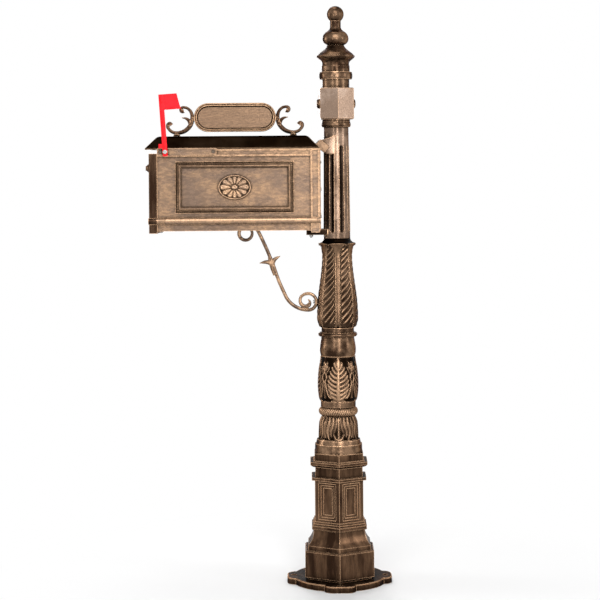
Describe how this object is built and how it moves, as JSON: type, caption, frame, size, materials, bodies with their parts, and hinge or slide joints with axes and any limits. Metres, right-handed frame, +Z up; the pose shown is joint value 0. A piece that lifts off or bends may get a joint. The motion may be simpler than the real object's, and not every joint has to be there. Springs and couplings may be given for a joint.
{
  "type": "post-mounted mailbox",
  "caption": "Ornate cast mailbox on a turned and fluted post, with a drop-down door, a hipped roof, a swinging signal flag and a blank address plaque.",
  "frame": {"origin": "on the post's axis at the underside of the foot plate", "axes": "+Z up the post; the box reaches out along -X, where its door faces the street; the flag is on the -Y side"},
  "size_m": [0.756, 0.324, 1.7893],
  "materials": {
    "post_bronze": "antique bronze, rubbed at the edges",
    "box_bronze": "antique bronze, mottled, rubbed at the edges",
    "roof_black": "semi-gloss black bronze",
    "flag_red": "gloss red paint",
    "bright_steel": "bright zinc",
    "zinc_steel": "dull zinc"
  },
  "bodies": {
    "post_and_box": {"acanthus_barrel": "post_bronze", "arm_bolts": "zinc_steel", "arm_nuts": "zinc_steel", "bell": "post_bronze", "brace_bolts": "zinc_steel", "cap_ring": "post_bronze", "case_screws": "zinc_steel", "catch_clip": "bright_steel", "catch_screws": "bright_steel", "collar_bolt": "zinc_steel", "core_tube": "zinc_steel", "dome_nuts": "post_bronze", "door_frame": "box_bronze", "drum": "post_bronze", "finial_ball": "post_bronze", "finial_base": "post_bronze", "finial_stud": "zinc_steel", "flag_bar": "box_bronze", "flag_bar_screws": "bright_steel", "flag_rivet": "bright_steel", "flag_side_medallion": "box_bronze", "flag_side_panel": "box_bronze", "floor_pan": "zinc_steel", "fluted_shaft": "post_bronze", "foot_plate": "post_bronze", "hex_collar": "post_bronze", "hinge_brackets": "zinc_steel", "hinge_pin": "zinc_steel", "hinge_screws": "zinc_steel", "leaf_cup": "post_bronze", "leaf_vase": "post_bronze", "pad_bolt": "zinc_steel", "pedestal": "post_bronze", "plain_side_medallion": "box_bronze", "plain_side_panel": "box_bronze", "plaque_frame": "box_bronze", "plaque_panel": "box_bronze", "post_scroll": "box_bronze", "rear_panel": "box_bronze", "rear_screws": "zinc_steel", "roof": "roof_black", "roof_screws": "zinc_steel", "rope_ring": "post_bronze", "scroll_brace": "box_bronze", "scroll_screws": "zinc_steel", "street_scroll": "box_bronze", "top_plug": "zinc_steel", "waist_ring": "post_bronze"},
    "door": {"door": "box_bronze", "door_knob": "box_bronze", "knob_screw": "zinc_steel", "catch_tongue": "bright_steel"},
    "flag": {"flag": "flag_red"}
  },
  "joints": [
    {"name": "door_hinge", "type": "hinge", "parent": "post_and_box", "child": "door", "pos_m": [-0.538, 0, 1.0965], "axis": [0, -1, 0], "range_deg": [0, 95]},
    {"name": "flag_pivot", "type": "hinge", "parent": "post_and_box", "child": "flag", "pos_m": [-0.5228, -0.1292, 1.338], "axis": [0, 1, 0], "range_deg": [0, 90]}
  ]
}
